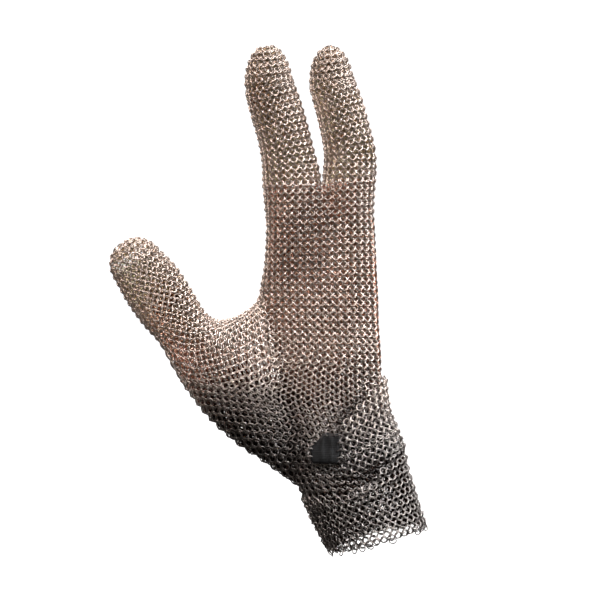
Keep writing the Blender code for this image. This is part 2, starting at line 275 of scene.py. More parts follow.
class Form:
    """Smooth closed surface of capped solids, on which the rings are laid."""

    def __init__(self, solids, voxel, passes):
        joined = bmesh.new()
        for rings in solids:
            made = [[joined.verts.new(p) for p in ring] for ring in rings]
            for low, high in zip(made, made[1:]):
                for k in range(len(low)):
                    n = (k + 1) % len(low)
                    joined.faces.new((low[k], low[n], high[n], high[k]))
            joined.faces.new(made[0][::-1])
            joined.faces.new(made[-1])
        bmesh.ops.recalc_face_normals(joined, faces=joined.faces)
        mesh = bpy.data.meshes.new("form")
        joined.to_mesh(mesh)
        joined.free()
        obj = placed("form", mesh)
        remesh = obj.modifiers.new("remesh", "REMESH")
        remesh.mode = "VOXEL"
        remesh.voxel_size = voxel
        smooth = obj.modifiers.new("smooth", "SMOOTH")
        smooth.factor = 0.5
        smooth.iterations = passes
        graph = bpy.context.evaluated_depsgraph_get()
        done = bpy.data.meshes.new_from_object(obj.evaluated_get(graph))
        done.calc_loop_triangles()
        self.points = vectors(done.vertices, "co")
        self.normals = vectors(done.vertices, "normal")
        self.tris = vectors(done.loop_triangles, "vertices", np.int32)
        bpy.data.objects.remove(obj, do_unlink=True)
        bpy.data.meshes.remove(mesh)
        bpy.data.meshes.remove(done)

    def cut(self, point, normal):
        """Points and normals of the outline round a point, where a plane cuts the surface."""
        height = (self.points - point) @ unit(normal)
        height = np.where(np.abs(height) < 1e-7, 1e-7, height)
        above = height > 0.0
        total = above[self.tris].sum(axis=1)
        size = len(self.points)
        places = {}
        links = {}
        for tri in self.tris[(total == 1) | (total == 2)]:
            keys = []
            for a, b in zip(tri, (tri[1], tri[2], tri[0])):
                if above[a] != above[b]:
                    lo, hi = (a, b) if a < b else (b, a)
                    key = int(lo) * size + int(hi)
                    if key not in places:
                        f = height[lo] / (height[lo] - height[hi])
                        places[key] = (
                            self.points[lo] * (1 - f) + self.points[hi] * f,
                            self.normals[lo] * (1 - f) + self.normals[hi] * f,
                        )
                    keys.append(key)
            links.setdefault(keys[0], []).append(keys[1])
            links.setdefault(keys[1], []).append(keys[0])
        best = None
        unused = set(links)
        while unused:
            chain = []
            ahead = [min(unused)]
            while ahead:
                chain.append(ahead[0])
                unused.discard(ahead[0])
                ahead = [k for k in links[ahead[0]] if k in unused]
            pts = np.array([places[k][0] for k in chain])
            nos = np.array([places[k][1] for k in chain])
            if len(pts) < 6:
                continue
            gap = np.linalg.norm((pts.max(axis=0) + pts.min(axis=0)) * 0.5 - point)
            if best is None or gap < best[0]:
                best = (gap, pts, unit(nos))
        return best[1], best[2]

    def outline(self, point, normal, axis, start):
        return Outline(*self.cut(point, normal), axis, start)


def evened(values, passes):
    """Values round a closed outline, each averaged with its neighbours a few times."""
    for _ in range(passes):
        values = 0.5 * values + 0.25 * (np.roll(values, 1, axis=0) + np.roll(values, -1, axis=0))
    return values


class Outline:
    """Closed outline, anticlockwise about axis, read at any distance from its farthest point along start."""

    SPACING = 0.5
    TANGENT_REACH = 0.9

    def __init__(self, pts, nos, axis, start):
        rel = pts - pts.mean(axis=0)
        if np.cross(rel, np.roll(rel, -1, axis=0)).sum(axis=0) @ np.asarray(axis) < 0:
            pts = pts[::-1]
            nos = nos[::-1]
        k = int(np.argmax(pts @ np.asarray(start, dtype=float)))
        pts = np.roll(pts, -k, axis=0)
        nos = np.roll(nos, -k, axis=0)
        pts = np.vstack([pts, pts[:1]])
        nos = np.vstack([nos, nos[:1]])
        # read again at even steps, and evened out
        at = arc_of(pts)
        count = int(at[-1] / self.SPACING)
        even = np.arange(count) * at[-1] / count
        pts = evened(between(even, at, pts), 1)
        nos = unit(evened(between(even, at, nos), 5))
        self.pts = np.vstack([pts, pts[:1]])
        self.nos = np.vstack([nos, nos[:1]])
        self.at = arc_of(self.pts)
        self.length = self.at[-1]

    def read(self, s):
        """Points, outward normals and directions."""
        s = np.mod(np.asarray(s, dtype=float), self.length)
        nor = unit(between(s, self.at, self.nos))
        ahead = between(np.mod(s + self.TANGENT_REACH, self.length), self.at, self.pts)
        behind = between(np.mod(s - self.TANGENT_REACH, self.length), self.at, self.pts)
        tan = unit(ahead - behind)
        tan = unit(tan - nor * (tan * nor).sum(axis=1, keepdims=True))
        return between(s, self.at, self.pts), nor, tan


def skin_length(lines):
    """Levels of a list of (level, outline), and the distance over the skin up to each."""
    along = np.array([s for s, _ in lines])
    radius = np.array([line.length for _, line in lines]) / (2.0 * math.pi)
    return along, summed(np.hypot(np.diff(along), np.diff(radius)))


def front_middle(line, across):
    """Distance along a closed row at which its palm side crosses the middle of its seen width."""
    s = np.arange(0.0, line.length, READ_STEP)
    pos = line.read(s)[0]
    rel = pos - CAMERA
    u = (rel @ across) / rel[:, 1]
    middle = 0.5 * (u.max() + u.min())
    flips = np.nonzero((u[:-1] - middle) * (u[1:] - middle) <= 0.0)[0]
    k = min(flips, key=lambda i: pos[i, 1])
    return s[k] + READ_STEP * (middle - u[k]) / (u[k + 1] - u[k] + 1e-12)


def on_back(nor):
    return nor[:, 1] > BACK_FROM


def closeness(back):
    """Shares of the row step and of the pitch."""
    return (BACK_STEP, BACK_PITCH) if back else (1.0, 1.0)


def lean_for(step, back=False):
    return BACK_LEAN if back else LEAN + (ROW_STEP - np.asarray(step)) * LEAN_CLOSER


def yaw_for(pitch):
    return np.degrees(np.arcsin(np.clip(YAW_WIRES * WIRE_RADIUS / np.asarray(pitch), 0.0, 0.5)))


def by_turns(k):
    """Sign of a row's lean."""
    return 1.0 if k % 2 else -1.0


def ring_places(line, middle, pitch, offset, back):
    """Where the rings of a closed row lie, counted both ways from the middle of one side."""
    reach = int(line.length / pitch * 0.5) + 3
    numbers = np.arange(-reach, reach + 1) + offset
    numbers = numbers[np.abs(numbers) <= line.length / pitch * 0.5]
    return line.read(middle + (line.length * 0.5 if back else 0.0) + numbers * pitch)


class Rings:
    """Rings gathered for one piece: centres, and the two axes of each ring's plane."""

    def __init__(self):
        self.rows = []

    def add(self, at, use, lean, yaw, sink=SINK, jitter=EVEN):
        """Rings where use is true of at, which holds points, normals and directions."""
        pos, nor, tan = (v[use] for v in at)
        count = len(pos)
        if count == 0:
            return
        col = np.cross(nor, tan)
        lean = np.broadcast_to(lean, use.shape)[use] + rng.normal(0, LEAN_STIR * jitter, count)
        lean = np.radians(lean)[:, None]
        yaw = np.radians(yaw + rng.normal(0, YAW_STIR * jitter, count))[:, None]
        up = unit(np.cos(lean) * col + np.sin(lean) * nor)
        side = unit(np.cos(yaw) * tan + np.sin(yaw) * np.cross(tan, up))
        centre = pos - nor * sink
        for way, stir in ((tan, SHIFT_STIR), (col, SHIFT_STIR), (nor, DEPTH_STIR)):
            centre = centre + way * rng.normal(0, stir * jitter, (count, 1))
        self.rows.append((centre, side, up))

    def one(self, centre, side, up):
        self.rows.append(tuple(np.array([v]) for v in (centre, side, up)))

    def stacked(self):
        return [np.vstack(column) for column in zip(*self.rows)]

    def keep(self, test):
        """Keep the rings whose centres pass a test."""
        columns = self.stacked()
        use = test(columns[0])
        self.rows = [tuple(column[use] for column in columns)]

    def build(self, name, mat, sides=FINE, wire=WIRE_RADIUS):
        ring_sides, wire_sides = sides
        # a wire with few sides looks as wide as the round one
        wire = wire * math.pi / (wire_sides * math.sin(math.pi / wire_sides))
        c, a, b = self.stacked()
        n = np.cross(a, b)
        t = turns(ring_sides)
        w = 2.0 * np.pi * (np.arange(wire_sides) + 0.5) / wire_sides
        radial = a[:, None] * np.cos(t)[:, None] + b[:, None] * np.sin(t)[:, None]
        reach = RING_RADIUS + wire * np.cos(w)
        pts = (c[:, None, None] + radial[:, :, None] * reach[:, None]
               + n[:, None, None] * (wire * np.sin(w))[:, None])
        count = len(c)
        per = ring_sides * wire_sides
        i = np.arange(ring_sides)[:, None]
        j = np.arange(wire_sides)[None, :]
        i2 = (i + 1) % ring_sides
        j2 = (j + 1) % wire_sides
        quad = np.stack([
            i * wire_sides + j, i2 * wire_sides + j, i2 * wire_sides + j2, i * wire_sides + j2,
        ], axis=-1).reshape(-1, 4)
        faces = (quad[None] + (np.arange(count) * per)[:, None, None]).reshape(-1, 4)
        mesh = bpy.data.meshes.new(name)
        mesh.vertices.add(count * per)
        mesh.vertices.foreach_set("co", (pts.reshape(-1) * MM).astype(np.float32))
        mesh.loops.add(len(faces) * 4)
        mesh.loops.foreach_set("vertex_index", faces.reshape(-1).astype(np.int32))
        mesh.polygons.add(len(faces))
        mesh.polygons.foreach_set("loop_start", (np.arange(len(faces)) * 4).astype(np.int32))
        mesh.polygons.foreach_set("use_smooth", np.ones(len(faces), dtype=bool))
        mesh.update(calc_edges=True)
        return placed(name, mesh, mat)


# ---- materials (metres)
STEEL = (0.63, 0.595, 0.57)
SHADE_HEIGHTS = (0.040, 0.084)  # between these heights the steel is painted duller and less warm towards the wrist: painted shade low down, and a painted warm reflection of the hand higher up
WRIST_SHADE_TINT = (0.68, 0.68, 0.69, 1.0)
HAND_REFLECTION_TINT = (1.30, 1.20, 1.14, 1.0)
INSIDE = (-0.15, 0.25)  # normals in y between which the back's rings turn from the hand outwards
# brown of the sides turned to the hand: a painted reflection of its skin
SKIN_REFLECTION = (1.0, 0.68, 0.55, 1.0)
HAND_SHADE_HEIGHTS = (0.045, 0.105)  # heights between which the brown sides get darker towards the wrist, in painted shade
# places of painted shade: middle, reach and what is left of the colour
HEEL_SHADE = ((-0.057, -0.010, 0.048), 0.032, 0.68)
HEEL_DEEP_SHADE = ((-0.058, 0.010, 0.046), 0.036, 0.16)
FLAP_SHADE = ((-0.004, -0.012, 0.046), 0.024, 0.28)
# painted shade of the hollow that runs down the palm from between the finger roots
HOLLOW_SHADE = (
    ((-0.0255, -0.012, 0.150), 0.014, 0.80),
    ((-0.0295, -0.012, 0.140), 0.016, 0.84),
    ((-0.0335, -0.012, 0.130), 0.017, 0.84),
    ((-0.0370, -0.012, 0.119), 0.018, 0.86),
)


def feed(tree, node, inputs):
    """Give inputs of a node their values, or the sockets that feed them."""
    for name, value in inputs.items():
        if isinstance(value, bpy.types.NodeSocket):
            tree.links.new(value, node.inputs[name])
        else:
            node.inputs[name].default_value = value


def add_node(tree, kind, inputs):
    node = tree.nodes.new("ShaderNode" + kind)
    feed(tree, node, inputs)
    return node


def noise(tree, place, scale, detail=2.0):
    return add_node(tree, "TexNoise", {"Vector": place, "Scale": scale, "Detail": detail}).outputs["Fac"]


def mapped(tree, value, span, to=(0.0, 1.0)):
    inputs = {"Value": value, "From Min": span[0], "From Max": span[1], "To Min": to[0], "To Max": to[1]}
    return add_node(tree, "MapRange", inputs).outputs["Result"]


def ramp(tree, value, stops):
    """Colour ramp through rising stops of a position and a colour."""
    node = add_node(tree, "ValToRGB", {"Fac": value})
    elements = node.color_ramp.elements
    while len(elements) < len(stops):
        elements.new(0.5)
    for element, (position, colour) in zip(elements, stops):
        element.position = position
        element.color = (*colour, 1.0)
    return node.outputs["Color"]


def mixed(tree, share, one, other, blend="MIX"):
    node = tree.nodes.new("ShaderNodeMix")
    node.data_type = "RGBA"
    node.blend_type = blend
    feed(tree, node, {0: share, 6: one, 7: other})
    return node.outputs[2]


def scaled(tree, colour, share):
    node = tree.nodes.new("ShaderNodeVectorMath")
    node.operation = "SCALE"
    feed(tree, node, {0: colour, "Scale": share})
    return node.outputs["Vector"]


def dimmed(tree, place, colour, dark):
    """A colour made darker round the middles of places of painted shade."""
    for spot, reach, share in dark:
        away = tree.nodes.new("ShaderNodeVectorMath")
        away.operation = "DISTANCE"
        feed(tree, away, {0: place, 1: spot})
        lift = add_node(tree, "MapRange", {
            "Value": away.outputs["Value"], "From Min": reach * 0.5, "From Max": reach, "To Min": share,
        })
        lift.interpolation_type = "SMOOTHSTEP"
        colour = scaled(tree, colour, lift.outputs["Result"])
    return colour


def bump(tree, height, strength, distance):
    inputs = {"Height": height, "Strength": strength, "Distance": distance}
    return add_node(tree, "Bump", inputs).outputs["Normal"]


def new_material(name):
    mat = bpy.data.materials.new(name)
    mat.use_nodes = True
    return mat, mat.node_tree, mat.node_tree.nodes["Principled BSDF"]


def steel_material(name, base, rough, inside=None, dark=(), lit=1.8):
    """Steel wire.

    Where inside gives a span of normals, the sides turned to the hand are brown, a painted reflection of the
    hand's skin, times lit far from the wrist as painted light and darker towards it as painted shade, and
    only they have the darker places.
    """
    mat, tree, shader = new_material(name)
    source = tree.nodes.new("ShaderNodeTexCoord")
    place = source.outputs["Object"]
    broad = noise(tree, place, 38.0, 3.0)
    patches = tree.nodes.new("ShaderNodeMix")
    patches.data_type = "FLOAT"
    feed(tree, patches, {0: 0.45, 2: noise(tree, place, 420.0), 3: broad})
    patchy = ramp(tree, patches.outputs[0], (
        (0.30, [c * 0.72 for c in base]),
        (0.70, [min(1.0, c * 1.22) for c in base]),
    ))
    height = add_node(tree, "SeparateXYZ", {"Vector": place}).outputs["Z"]
    # painted shade towards the wrist, and a painted warm reflection of the hand above
    height_light = mixed(tree, mapped(tree, height, SHADE_HEIGHTS), WRIST_SHADE_TINT, HAND_REFLECTION_TINT)
    colour = mixed(tree, 1.0, patchy, height_light, "MULTIPLY")
    if inside is None:
        colour = dimmed(tree, place, colour, dark)
    else:
        # painted reflection of the hand's skin, with painted light far from the wrist and painted shade near
        # it
        brown = mixed(tree, 1.0, colour, SKIN_REFLECTION, "MULTIPLY")
        brown = scaled(tree, brown, mapped(tree, height, HAND_SHADE_HEIGHTS, (0.10, lit)))
        facing = add_node(tree, "SeparateXYZ", {"Vector": source.outputs["Normal"]}).outputs["Y"]
        colour = mixed(tree, mapped(tree, facing, inside), dimmed(tree, place, brown, dark), colour)
    feed(tree, shader, {
        "Base Color": colour,
        "Metallic": 1.0,
        "Roughness": mapped(tree, broad, (0.3, 0.7), (rough - 0.06, rough + 0.10)),
        "Normal": bump(tree, noise(tree, place, 2600.0), 0.12, 0.00006),
    })
    return mat


def webbing_material(name):
    """Black woven tape with a waxed face."""
    mat, tree, shader = new_material(name)
    place = tree.nodes.new("ShaderNodeTexCoord").outputs["Object"]
    threads = []
    for direction, spacing in (("X", 0.00055), ("Z", 0.0008)):
        inputs = {"Vector": place, "Scale": 0.314 / spacing, "Distortion": 0.6, "Detail": 1.0}
        wave = add_node(tree, "TexWave", inputs)
        wave.bands_direction = direction
        threads.append(wave.outputs["Fac"])
    weave = tree.nodes.new("ShaderNodeMath")
    weave.operation = "MULTIPLY"
    feed(tree, weave, {0: threads[0], 1: threads[1]})
    dust = noise(tree, place, 240.0, 4.0)
    feed(tree, shader, {
        "Base Color": ramp(tree, dust, ((0.35, (0.008, 0.009, 0.010)), (0.72, (0.022, 0.024, 0.027)))),
        "Roughness": mapped(tree, dust, (0.0, 1.0), (0.34, 0.62)),
        "Normal": bump(tree, weave.outputs[0], 0.55, 0.00012),
    })
    return mat


steel = steel_material("steel_mesh", STEEL, 0.35)
# darker copy of the steel for the palm side, as painted shade, with the painted shade of heel, flap and
# hollow
steel_palm = steel_material(
    "steel_mesh_palm", [c * 0.87 for c in STEEL], 0.36, None, (HEEL_SHADE, FLAP_SHADE, *HOLLOW_SHADE))
# the back's hand-facing sides get painted light far from the wrist, less of it behind the palm
steel_back = steel_material("steel_mesh_back", STEEL, 0.32, INSIDE, (HEEL_DEEP_SHADE,))
steel_palm_back = steel_material("steel_mesh_palm_back", STEEL, 0.32, INSIDE, (HEEL_DEEP_SHADE,), 1.05)
# no normal reaches this span, so the lining is brown and dull all round: the painted reflection of the hand,
# in painted shade towards the wrist
steel_lining = steel_material("steel_mesh_lining", STEEL, 0.34, (1.0, 1.5))
webbing = webbing_material("black_webbing")

# ---- forms
index_solid = finger_sections(INDEX, INDEX_TIP, FINGER_SIDES)
middle_solid = finger_sections(MIDDLE, MIDDLE_TIP, FINGER_SIDES)
hand = Form([
    index_solid, middle_solid, thumb_sections(FINGER_SIDES), sections(PALM, PALM_SIDES),
    sections(GUSSET, GUSSET_SIDES),
], 1.3, 14)
index_form = Form([index_solid], 1.2, 4)
middle_form = Form([middle_solid], 1.2, 4)


def finish_piece(obj, *nodes, slot="steel_mesh"):
    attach(obj, "root")
    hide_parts(*nodes)


# ---- fingers
ROOT_TILT = math.radians(3.0)  # the rows at the finger roots, as on the palm
ROOT_RISE = np.array([-math.sin(ROOT_TILT), 0.0, math.cos(ROOT_TILT)])
ROOT_BLEND = 14.0  # over this distance the rows turn square to the finger
TIP_BEND = np.array([0.45, 0.5, 1.0])
LEAST_RINGS = 4  # in the smallest row of a tip
CLOSEST = 0.86  # rings that would lie closer than this share of the pitch
OPENED = 0.95  # lie at this one, and are fewer


def finger_patch(out, form, stations, columns, root_z, top_row, back, under=0.0):
    """Rows round one side of a finger; under counts layers inwards."""
    path = dense(stations, 8)[1][:, [0, 4, 1]]
    d = unit(path[-1] - path[-3])
    path = np.vstack([path, path[-1] + np.arange(1, 24)[:, None] * d * TIP_BEND])
    path = path[path[:, 2] >= root_z]
    arc = arc_of(path)

    def level(s):
        point, ahead, behind = between([s, s + 1.5, max(s - 1.5, 0.0)], arc, path)
        way = unit([ahead[0] - behind[0], 0.0, ahead[2] - behind[2]])
        blend = min(1.0, s / ROOT_BLEND)
        way = unit(way * blend + ROOT_RISE * (1.0 - blend))
        return point, row_normal([way[2], 0.0, -way[0]], point)

    lines = []
    for s in np.arange(0.0, arc[-1], 0.5):
        point, normal = level(s)
        if ((form.points - point) @ normal).max() < 0.35:
            break
        lines.append((s, form.outline(point, normal, normal, RIGHT)))
    along, skin = skin_length(lines)
    closer, narrower = closeness(back)
    rows = int(skin[-1] / (ROW_STEP * closer))
    step = skin[-1] / rows
    for k in range(rows + 1):
        point, normal = level(float(np.interp((k + 0.5 * under) * step, skin, along)))
        line = form.outline(point, normal, normal, RIGHT)
        count = columns
        if line.length / columns < CLOSEST * PITCH:
            count = max(LEAST_RINGS, int(round(line.length / (OPENED * PITCH))))
        pitch = line.length / count * narrower
        middle = front_middle(line, unit(np.cross(normal, [0.0, 1.0, 0.0])))
        if k == 0:
            # half a pitch from the nearest ring of the palm's top row
            at, _, way = line.read([middle])
            nearest = top_row[np.argmin(np.abs(top_row - at[0, 0]))]
            phase = (nearest - at[0, 0]) * np.sign(way[0, 0]) / pitch + 0.5
        at = ring_places(line, middle, pitch, phase + 0.5 * (k % 2) + 0.25 * under, back)
        lean = by_turns(k) * lean_for(step, back)
        out.add(at, on_back(at[1]) == back, lean, yaw_for(pitch), SINK + FOLD_DEPTH * under)


# ---- thumb, in rows that fan into the palm
# x and z of a row's end on the palm side of the thumb, then of the other end
FAN = (
    (-54.0, 110.5, -45.5, 69.0),
    (-57.5, 106.2, -55.0, 68.0),
    (-61.5, 102.8, -66.0, 67.0),
    (-66.5, 99.9, -79.0, 66.5),
    (-72.2, 98.6, -91.0, 71.0),
    (-77.7, 101.2, -99.5, 86.0),
    (-84.2, 112.0, -108.2, 96.3),
    (-91.4, 123.3, -115.2, 106.4),
    (-99.6, 131.7, -120.7, 116.7),
)
SEAM_Z = 68.5  # below it the rows are the palm's


def thumb_patch(out, back, under=0.0):
    """Rows of one side of the thumb and its base; under counts layers inwards."""
    last = len(FAN) - 1
    fine, table = dense(FAN)
    arc = arc_of(table[:, :2] * 0.5 + table[:, 2:] * 0.5)
    closer, narrower = closeness(back)
    rows = int(arc[-1] / (ROW_STEP * closer))
    step = arc[-1] / rows
    laid = []
    for k in range(rows + 1):
        t = float(np.interp((k + 0.5 * under) * step, arc, fine))
        ax, az, bx, bz = spline(FAN, t)
        up = unit([ax - bx, 0.0, az - bz])
        forward = np.array([-up[2], 0.0, up[0]])
        middle = np.array([(ax + bx) * 0.5, -2.0, (az + bz) * 0.5])
        plane = row_normal(up, middle, forward)
        laid.append((k, t, middle, up, plane, hand.outline(middle, plane, forward, up)))
    tube = [row[5].length for row in laid if row[5].pts[:, 2].min() > SEAM_Z + 2.0]
    columns = int(round(np.mean(tube) / PITCH))
    for k, t, middle, up, plane, line in laid:
        # the distance between rows differs from one end to the other
        t0 = max(t - 0.05, 0.0)
        t1 = min(t + 0.05, last)
        moved = spline(FAN, t1) - spline(FAN, t0)
        span = np.interp(t1, fine, arc) - np.interp(t0, fine, arc)
        rate_a = np.linalg.norm(moved[:2]) / span
        rate_b = np.linalg.norm(moved[2:]) / span
        closed = line.pts[:, 2].min() > SEAM_Z + 0.5
        pitch = (line.length / columns if closed else PITCH) * narrower
        at = ring_places(line, front_middle(line, up), pitch, 0.5 * (k % 2) + 0.25 * under, back)
        pos, nor, _ = at
        half = max(np.ptp(line.pts @ up) * 0.5, 12.0)
        part = np.clip(0.5 - ((pos - middle) @ up) / (2.0 * half), 0.0, 1.0)
        local = step * (rate_a * (1.0 - part) + rate_b * part)
        use = on_back(nor) == back
        if not closed:
            use &= pos[:, 2] > SEAM_Z
        lean = by_turns(k) * lean_for(np.clip(local, 0.9, 2.4), back)
        out.add(at, use, lean, yaw_for(pitch), SINK + FOLD_DEPTH * under)
    if under:
        return
    # the round tip, past the last row
    last_k, _, middle, up, plane, _ = laid[-1]
    near = hand.points[np.linalg.norm(hand.points - middle, axis=1) < 30.0]
    lines = []
    for h in np.arange(0.0, THUMB_TIP + 2.0, 0.4):
        point = middle + plane * h
        if ((near - point) @ plane).max() < 0.3:
            break
        lines.append((h, hand.outline(point, plane, plane, up)))
    along, skin = skin_length(lines)
    rows = max(3, int(skin[-1] / (ROW_STEP * closer)))
    step = skin[-1] / rows
    for k in range(1, rows + 1):
        line = hand.outline(middle + plane * np.interp(k * step, skin, along), plane, plane, up)
        count = min(columns, max(LEAST_RINGS, int(round(line.length / PITCH))))
        pitch = line.length / count
        at = line.read(front_middle(line, up) + (np.arange(count) + 0.5 * ((last_k + k) % 2)) * pitch)
        lean = by_turns(last_k + k) * lean_for(step, back)
        out.add(at, on_back(at[1]) == back, lean, yaw_for(pitch))


# ---- palm and back
# rows from the finger roots down: level and x at the ulnar hem, tilt, x of the thumb's seam, and shares
# of the usual pitch and row step on the palm side
PALM_ROWS = (
    (161.5, -0.8, 3.0, -60.0, 1.0, 1.0),
    (149.5, -1.0, 3.0, -60.0, 1.0, 1.0),
    (138.0, -1.4, 3.0, -60.0, 1.0, 1.0),
    (124.0, -0.6, 2.0, -60.0, 1.0, 1.0),
    (110.0, 0.2, 0.0, -54.0, 1.0, 1.0),
    (96.0, 0.6, -1.0, -51.2, 1.0, 1.0),
    (82.0, 1.6, -3.0, -48.0, 1.02, 0.98),
    (70.0, 2.2, -6.0, -44.5, 1.15, 0.92),
    (62.0, 3.0, -8.0, -41.0, 1.20, 0.84),
    (55.0, 4.4, -8.0, -38.0, 1.26, 0.82),
    (46.0, 8.0, -6.0, -36.0, 1.26, 0.82),
    (37.0, 11.0, -3.0, -36.0, 1.20, 0.84),
    (27.0, 13.5, 0.0, -36.0, 1.10, 0.86),
    (16.0, 16.0, 2.0, -36.0, 1.0, 0.9),
)
PALM_HALF = 24.0  # from the hem to the middle of a row
BACK_HEM = 0.8  # the back's rows begin this much farther out
HEEL_PITCH = 0.93  # towards the thumb side of the lower palm the rings close up again
HEEL_X = (-58.0, -40.0)
ROOT_Z = 149.5  # above it the mesh is closed on the ulnar side too
CREASE_X = -25.4  # between the finger roots
CREASE_HALF = 6.5
COLUMN_X = -10.0  # above COLUMN_Z the columns of rings run straight up from here
COLUMN_Z = 120.0
SEAM_TOP = 110.0  # the thumb's seam ends here
SEAM_LAP = (1.4, 0.8)  # and the palm's rings reach this far past it, in x and z
# above the tab and below it the rings hang over each other, lower arcs forward:
# angle, z and its reach, x and its reach
HANGING = (
    (20.0, 52.0, 9.0, -20.0, 14.0),
    (28.0, 30.0, 5.5, -14.0, 9.0),
)
STIR_Z = (45.0, 85.0)  # the mesh lies less evenly towards the wrist
STIR = (1.5, 0.4)
# upper edge of the wrist band
BAND_TOP_X = (-40.0, -20.0, -14.3, -7.4, -0.5, 6.0, 12.0)
BAND_TOP_Z = (17.5, 17.5, 19.6, 23.2, 28.0, 37.0, 60.0)
BAND_LAP = 3.5  # the palm mesh reaches this far down behind it

Laid = namedtuple("Laid", "z seam_x pitch step line begin way s counted x")


def tilted_row(x, z, tilt, inward):
    """Row from the ulnar side towards the thumb side: its first point, direction and outline."""
    angle = math.radians(tilt)
    across = np.array([-math.cos(angle), 0.0, -math.sin(angle)])
    start = np.array([x, 0.0, z])
    middle = start + across * inward
    normal = row_normal(across, middle)
    return start, across, hand.outline(middle, normal, normal, -across)


def row_gaps(table, inward):
    """Distances between a table's rows, some way in from the ulnar side."""
    tilt = np.radians(table[:, 2])
    x = table[:, 1] - inward * np.cos(tilt)
    z = table[:, 0] - inward * np.sin(tilt)
    return np.hypot(np.diff(x), np.diff(z))


def palm_patch(out, back, under=0.0, loose=1.0):
    """Rows of one side of the palm; under counts layers inwards, and loose multiplies the jitter."""
    closer, narrower = closeness(back)
    fine, table = dense(PALM_ROWS)
    if back:
        table[:, 4:6] = 1.0
    number = summed(row_gaps(table, PALM_HALF) / (ROW_STEP * closer * 0.5 * (table[1:, 5] + table[:-1, 5])))

    def lay(t):
        z, hem_x, tilt, seam_x, wide, tall = [np.interp(t, fine, column) for column in table.T]
        hem, across, line = tilted_row(hem_x + (BACK_HEM if back else 0.0), z, tilt, PALM_HALF)
        s = np.arange(0.0, line.length, READ_STEP)
        inside = s[(line.read(s)[0] - hem) @ across > 0.0]
        begin = inside.min()
        way = 1.0
        if (line.read([begin + 1.0])[0][0, 1] < 0.0) == back:
            begin = inside.max()
            way = -1.0
        pitch = PITCH * wide * narrower
        # the pitch varies along the row, so rings are counted along it
        s = np.arange(0.0, np.ptp(inside), READ_STEP)
        pos, _, tan = line.read(begin + way * s)
        x = pos[:, 0]
        local = pitch * (1.0 if back else np.interp(x, HEEL_X, (min(HEEL_PITCH / wide, 1.0), 1.0)))
        # and the crease between the fingers takes no rings of its own
        if z > ROOT_Z - 8.0:
            level = np.clip(np.abs(tan[:, 0]), 0.12, 1.0)
            local = np.where(np.abs(x - CREASE_X) < CREASE_HALF, local / level, local)
        counted = np.cumsum(READ_STEP / np.broadcast_to(local, s.shape))
        return Laid(z, seam_x, pitch, ROW_STEP * tall * closer, line, begin, way, s, counted, x)

    def counted_to_column(row):
        return row.counted[np.argmax(row.x < COLUMN_X)]

    fixed = counted_to_column(lay(float(np.interp(-COLUMN_Z, -table[:, 0], fine))))
    for k in range(int(number[-1]) + 1):
        row = lay(float(np.interp(k + 0.5 * under, number, fine)))
        start = counted_to_column(row) - fixed if row.z > COLUMN_Z else 0.0
        numbers = np.arange(-12, int(row.counted[-1]) + 12) + 0.35 + 0.5 * (k % 2) + 0.25 * under + start
        numbers = numbers[(numbers > (-4.0 if row.z > ROOT_Z else 0.0)) & (numbers < row.counted[-1])]
        s = np.where(numbers < 0.0, numbers * row.pitch, np.interp(numbers, row.counted, row.s))
        at = row.line.read(row.begin + row.way * s)
        pos, nor, _ = at
        x = pos[:, 0]
        z = pos[:, 2]
        # an inner layer that isn't loose reaches a little way round the sides
        use = (nor[:, 1] > -0.1) if under and loose == 1.0 else on_back(nor) == back
        if row.z < SEAM_TOP + 4.0:
            use &= ~((z > SEAM_Z + SEAM_LAP[1]) & (x < row.seam_x - SEAM_LAP[0]) & (z < SEAM_TOP))
        use &= z > np.interp(x, BAND_TOP_X, BAND_TOP_Z) - BAND_LAP
        lean = np.broadcast_to(-by_turns(k) * lean_for(row.step, back), s.shape)
        if not back:
            for angle, mid_z, reach_z, mid_x, reach_x in HANGING:
                lean = lean - angle * np.exp(-((z - mid_z) / reach_z) ** 2 - ((x - mid_x) / reach_x) ** 2)
        stir = loose * float(np.interp(row.z, STIR_Z, STIR))
        out.add(at, use, lean, yaw_for(row.pitch), SINK + FOLD_DEPTH * under, stir)


# ---- closure flap
# rows from the top down: level and x at the ulnar side, tilt, x of the edge on palm side and back
FLAP_ROWS = (
    (71.0, 2.6, 26.0, 0.0, -3.0),
    (66.5, 3.4, 27.0, -6.0, -7.0),
    (61.0, 4.4, 28.0, -15.0, -9.0),
    (55.0, 5.8, 28.0, -17.0, -11.0),
    (49.0, 8.4, 28.0, -17.0, -12.0),
    (43.0, 11.0, 28.0, -16.5, -12.0),
    (38.5, 12.6, 28.0, -8.0, -12.0),
)
FLAP_PITCH = 3.55
FLAP_SINK = -0.95  # the flap lies over the palm mesh
FLAP_STIR = 1.6


def flap_patch(out):
    fine, table = dense(FLAP_ROWS)
    number = summed(row_gaps(table, 12.0) / ROW_STEP)
    for k in range(int(number[-1]) + 1):
        z, side_x, tilt, front_x, back_x = spline(FLAP_ROWS, float(np.interp(k, number, fine)))
        line = tilted_row(side_x, z, tilt, 14.0)[2]
        count = int(line.length / FLAP_PITCH)
        numbers = np.arange(-count // 2, count // 2) + 0.5 * (k % 2)
        at = line.read(numbers * FLAP_PITCH)
        x, y, _ = at[0].T
        use = np.where(y < 0.0, x > front_x, x > back_x)
        out.add(at, use, by_turns(k) * lean_for(ROW_STEP), yaw_for(FLAP_PITCH), FLAP_SINK, FLAP_STIR)


